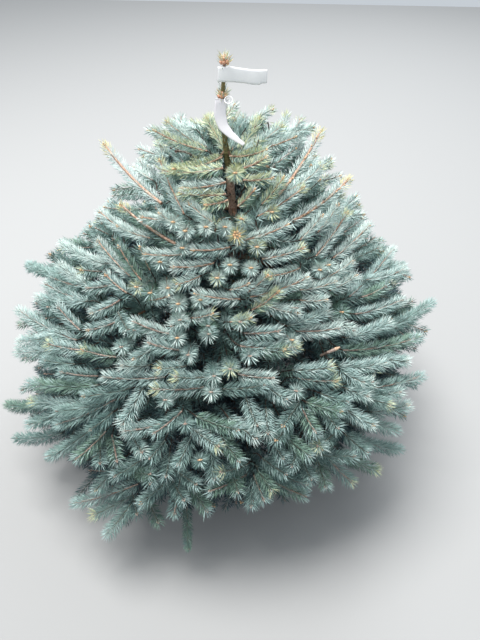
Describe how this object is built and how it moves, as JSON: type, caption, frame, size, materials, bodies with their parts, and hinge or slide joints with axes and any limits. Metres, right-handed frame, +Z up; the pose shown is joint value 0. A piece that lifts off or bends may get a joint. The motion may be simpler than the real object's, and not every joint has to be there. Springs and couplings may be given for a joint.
{
  "type": "potted blue spruce tree",
  "caption": "Young blue spruce in a round black nursery pot: tapering trunk, tiers of boughs, fans of blue-green foliage and a blank white plant label on the leader.",
  "frame": {"origin": "centre of the pot's flat underside, at the level that the pot stands on", "axes": "+Z up along the trunk; -Y towards the side that the reference view shows; +X to the right in that view"},
  "size_m": [1.2218, 1.1347, 1.06],
  "materials": {
    "bark": "rough orange-brown bark",
    "needles": "glaucous blue-green needles",
    "pot": "moulded black nursery-pot plastic",
    "soil": "moist peaty potting soil",
    "label": "blank white weatherproof label stock"
  },
  "bodies": {
    "root": {"pot": "pot", "soil": "soil", "trunk": "bark", "foliage_skirt_1": "needles", "bough_skirt_1": "bark", "foliage_skirt_2": "needles", "bough_skirt_2": "bark", "foliage_skirt_3": "needles", "bough_skirt_3": "bark", "foliage_skirt_4": "needles", "bough_skirt_4": "bark", "foliage_skirt_5": "needles", "bough_skirt_5": "bark", "foliage_lower_1": "needles", "bough_lower_1": "bark", "foliage_lower_2": "needles", "bough_lower_2": "bark", "foliage_lower_3": "needles", "bough_lower_3": "bark", "foliage_lower_4": "needles", "bough_lower_4": "bark", "foliage_lower_5": "needles", "bough_lower_5": "bark", "foliage_middle_1": "needles", "bough_middle_1": "bark", "foliage_middle_2": "needles", "bough_middle_2": "bark", "foliage_middle_3": "needles", "bough_middle_3": "bark", "foliage_middle_4": "needles", "bough_middle_4": "bark", "foliage_middle_5": "needles", "bough_middle_5": "bark", "foliage_upper_1": "needles", "bough_upper_1": "bark", "foliage_upper_2": "needles", "bough_upper_2": "bark", "foliage_upper_3": "needles", "bough_upper_3": "bark", "foliage_upper_4": "needles", "bough_upper_4": "bark", "foliage_shoulder_1": "needles", "bough_shoulder_1": "bark", "foliage_shoulder_2": "needles", "bough_shoulder_2": "bark", "foliage_shoulder_3": "needles", "bough_shoulder_3": "bark", "foliage_shoulder_4": "needles", "bough_shoulder_4": "bark", "foliage_top_1": "needles", "bough_top_1": "bark", "foliage_top_2": "needles", "bough_top_2": "bark", "foliage_top_3": "needles", "bough_top_3": "bark", "foliage_leader_tip": "needles", "foliage_leader_buds": "needles", "label_flag": "label", "label_band": "label"}
  },
  "joints": []
}
